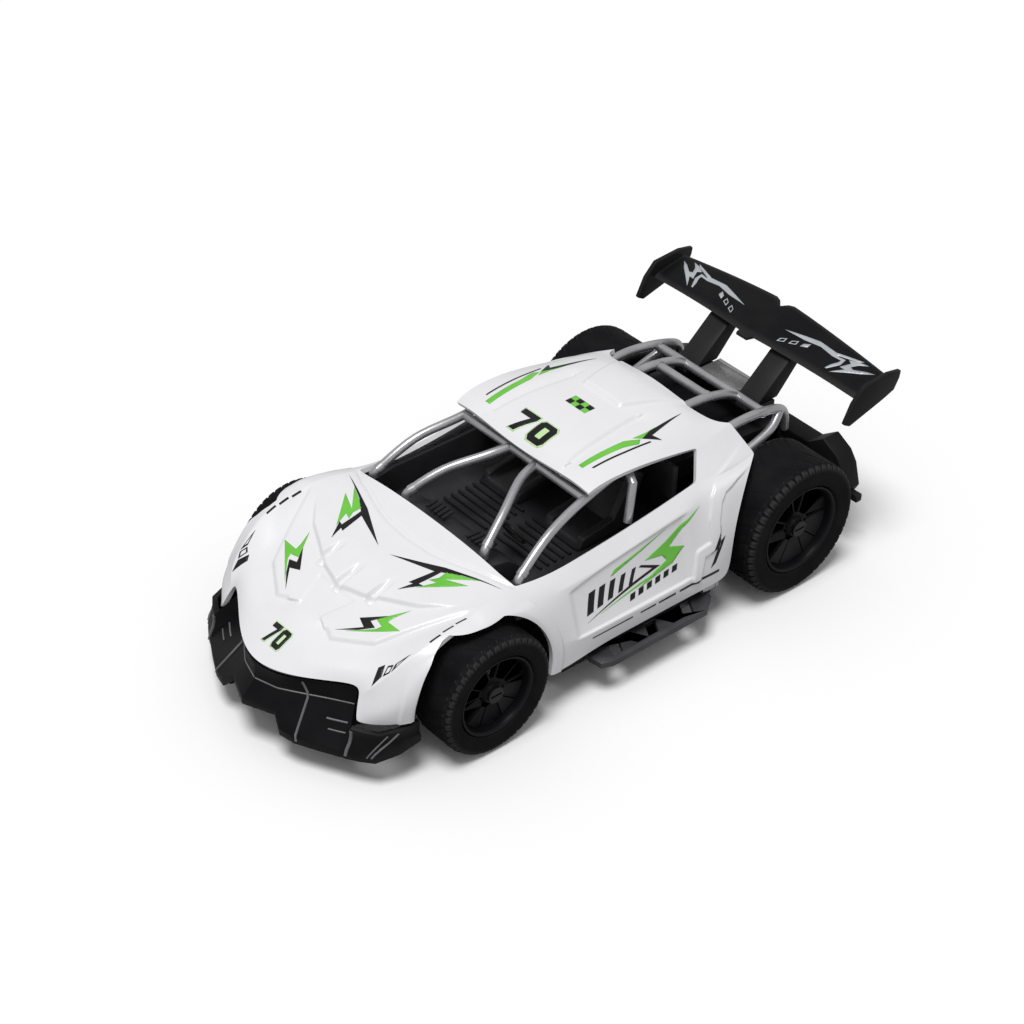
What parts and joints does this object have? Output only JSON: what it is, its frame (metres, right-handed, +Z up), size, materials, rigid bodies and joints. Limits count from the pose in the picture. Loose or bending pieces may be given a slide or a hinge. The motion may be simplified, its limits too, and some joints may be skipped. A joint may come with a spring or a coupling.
{
  "type": "remote control car",
  "caption": "Remote-controlled racing car with a white coupe shell, tubular cage, tall rear wing, chunky black tyres, steered front wheels and a geared rear drive.",
  "frame": {"origin": "centre of the car on the floor, under the middle of its overall length", "axes": "+X to the car's left side, +Y to the rear, nose to -Y, +Z up"},
  "size_m": [0.1098, 0.2324, 0.0704],
  "materials": {
    "shell_white": "gloss",
    "black_plastic": "satin",
    "cage_grey": "satin",
    "tyre_rubber": "matt",
    "rim_black": "gloss",
    "steel": "satin",
    "brass": "satin",
    "gear_nylon": "satin",
    "battery_wrap": "gloss",
    "board_green": "satin"
  },
  "bodies": {
    "chassis": {"body_shell": "shell_white", "chassis_tub": "black_plastic", "front_bumper": "black_plastic", "rear_bumper": "black_plastic", "windscreen_frame": "cage_grey", "rear_cage": "cage_grey", "side_step_left": "cage_grey", "side_step_right": "cage_grey", "rear_wing": "black_plastic", "wing_end_plate_left": "black_plastic", "wing_end_plate_right": "black_plastic", "wing_strut_left": "black_plastic", "wing_strut_right": "black_plastic", "rear_deck": "black_plastic", "cockpit_tray": "black_plastic", "dashboard": "black_plastic", "seat_left": "black_plastic", "seat_right": "black_plastic", "gearbox_case": "black_plastic", "gearbox_lid": "black_plastic", "drive_motor": "steel", "compound_shaft": "steel", "axle_bush_left": "brass", "axle_bush_right": "brass", "front_axle_plate": "black_plastic", "steering_box": "black_plastic", "battery_pack": "battery_wrap", "circuit_board": "board_green", "body_screw_front_left": "steel", "body_screw_front_right": "steel", "body_screw_rear_left": "steel", "body_screw_rear_right": "steel"},
    "knuckle_left": {"steering_knuckle_left": "black_plastic", "front_wheel_pin_left": "steel"},
    "knuckle_right": {"steering_knuckle_right": "black_plastic", "front_wheel_pin_right": "steel"},
    "front_wheel_left": {"front_left_tyre": "tyre_rubber", "front_left_rim": "rim_black"},
    "front_wheel_right": {"front_right_tyre": "tyre_rubber", "front_right_rim": "rim_black"},
    "track_rod": {"tie_rod": "black_plastic"},
    "servo_horn": {"servo_arm": "gear_nylon"},
    "drive_axle": {"rear_axle": "steel", "rear_left_tyre": "tyre_rubber", "rear_left_rim": "rim_black", "rear_right_tyre": "tyre_rubber", "rear_right_rim": "rim_black", "rear_wheel_screw_left": "steel", "rear_wheel_screw_right": "steel", "axle_gear": "gear_nylon"},
    "reduction_gear": {"compound_gear": "gear_nylon"},
    "pinion": {"motor_pinion": "brass"},
    "battery_hatch": {"battery_door": "black_plastic"},
    "switch_knob": {"power_switch": "black_plastic"},
    "steering_trim": {"trim_lever": "black_plastic"}
  },
  "joints": [
    {"name": "steer_left", "type": "hinge", "parent": "chassis", "child": "knuckle_left", "pos_m": [0.033, -0.0592, 0.021], "axis": [0, 0, 1], "range_deg": [-10, 10]},
    {"name": "steer_right", "type": "hinge", "parent": "chassis", "child": "knuckle_right", "pos_m": [-0.033, -0.0592, 0.021], "axis": [0, 0, 1], "range_deg": [-10, 10]},
    {"name": "track_rod_slide", "type": "slide", "parent": "chassis", "child": "track_rod", "axis": [1, 0, 0], "range_m": [-0.0018, 0.0018]},
    {"name": "servo_turn", "type": "hinge", "parent": "chassis", "child": "servo_horn", "pos_m": [0, -0.0392, 0.028], "axis": [0, 0, 1], "range_deg": [-10, 10]},
    {"name": "front_wheel_left_spin", "type": "hinge", "parent": "knuckle_left", "child": "front_wheel_left", "pos_m": [0.033, -0.0592, 0.021], "axis": [1, 0, 0], "continuous": true},
    {"name": "front_wheel_right_spin", "type": "hinge", "parent": "knuckle_right", "child": "front_wheel_right", "pos_m": [-0.033, -0.0592, 0.021], "axis": [1, 0, 0], "continuous": true},
    {"name": "rear_axle_spin", "type": "hinge", "parent": "chassis", "child": "drive_axle", "pos_m": [0, 0.0708, 0.0241], "axis": [1, 0, 0], "continuous": true},
    {"name": "reduction_gear_spin", "type": "hinge", "parent": "chassis", "child": "reduction_gear", "pos_m": [0, 0.05504, 0.02688], "axis": [1, 0, 0], "continuous": true},
    {"name": "pinion_spin", "type": "hinge", "parent": "chassis", "child": "pinion", "pos_m": [0, 0.04213, 0.02413], "axis": [1, 0, 0], "continuous": true},
    {"name": "battery_door_swing", "type": "hinge", "parent": "chassis", "child": "battery_hatch", "pos_m": [0, -0.0203, 0.0089], "axis": [-1, 0, 0], "range_deg": [0, 100]},
    {"name": "power_switch_slide", "type": "slide", "parent": "chassis", "child": "switch_knob", "axis": [0, 1, 0], "range_m": [0, 0.0035]},
    {"name": "trim_lever_turn", "type": "hinge", "parent": "chassis", "child": "steering_trim", "pos_m": [0, -0.0732, 0.008], "axis": [0, 0, 1], "range_deg": [-20, 20]}
  ],
  "couplings": [
    {"joint": "steer_right", "follows": "steer_left", "ratio": 1},
    {"joint": "track_rod_slide", "follows": "steer_left", "m_per_rad": -0.01},
    {"joint": "servo_turn", "follows": "steer_left", "ratio": -1},
    {"joint": "reduction_gear_spin", "follows": "rear_axle_spin", "ratio": -2.3333},
    {"joint": "pinion_spin", "follows": "rear_axle_spin", "ratio": 6.2222}
  ]
}
